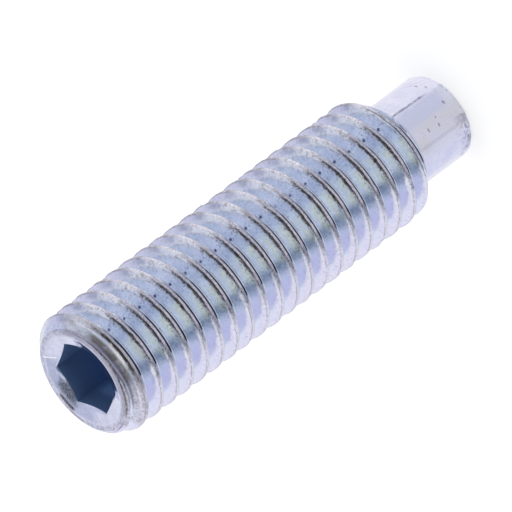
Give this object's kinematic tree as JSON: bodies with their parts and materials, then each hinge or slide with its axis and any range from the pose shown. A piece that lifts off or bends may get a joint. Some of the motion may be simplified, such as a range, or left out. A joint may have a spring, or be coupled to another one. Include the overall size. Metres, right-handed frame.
{
  "type": "grub set screw",
  "caption": "Headless steel set screw with a hexagon socket at one end, a right-hand metric thread along its length and a long plain dog point at the other end.",
  "frame": {"origin": "centre of the flat end of the dog point, on the surface that the screw stands on", "axes": "+Z along the screw's axis, from the dog point up to the socket; +X through a corner of the hexagon socket"},
  "size_m": [0.008, 0.008, 0.03],
  "materials": {
    "zinc_plated_steel": "bluish zinc plate, semi-bright, worn on the crests"
  },
  "bodies": {
    "root": {"set_screw": "zinc_plated_steel"}
  },
  "joints": []
}
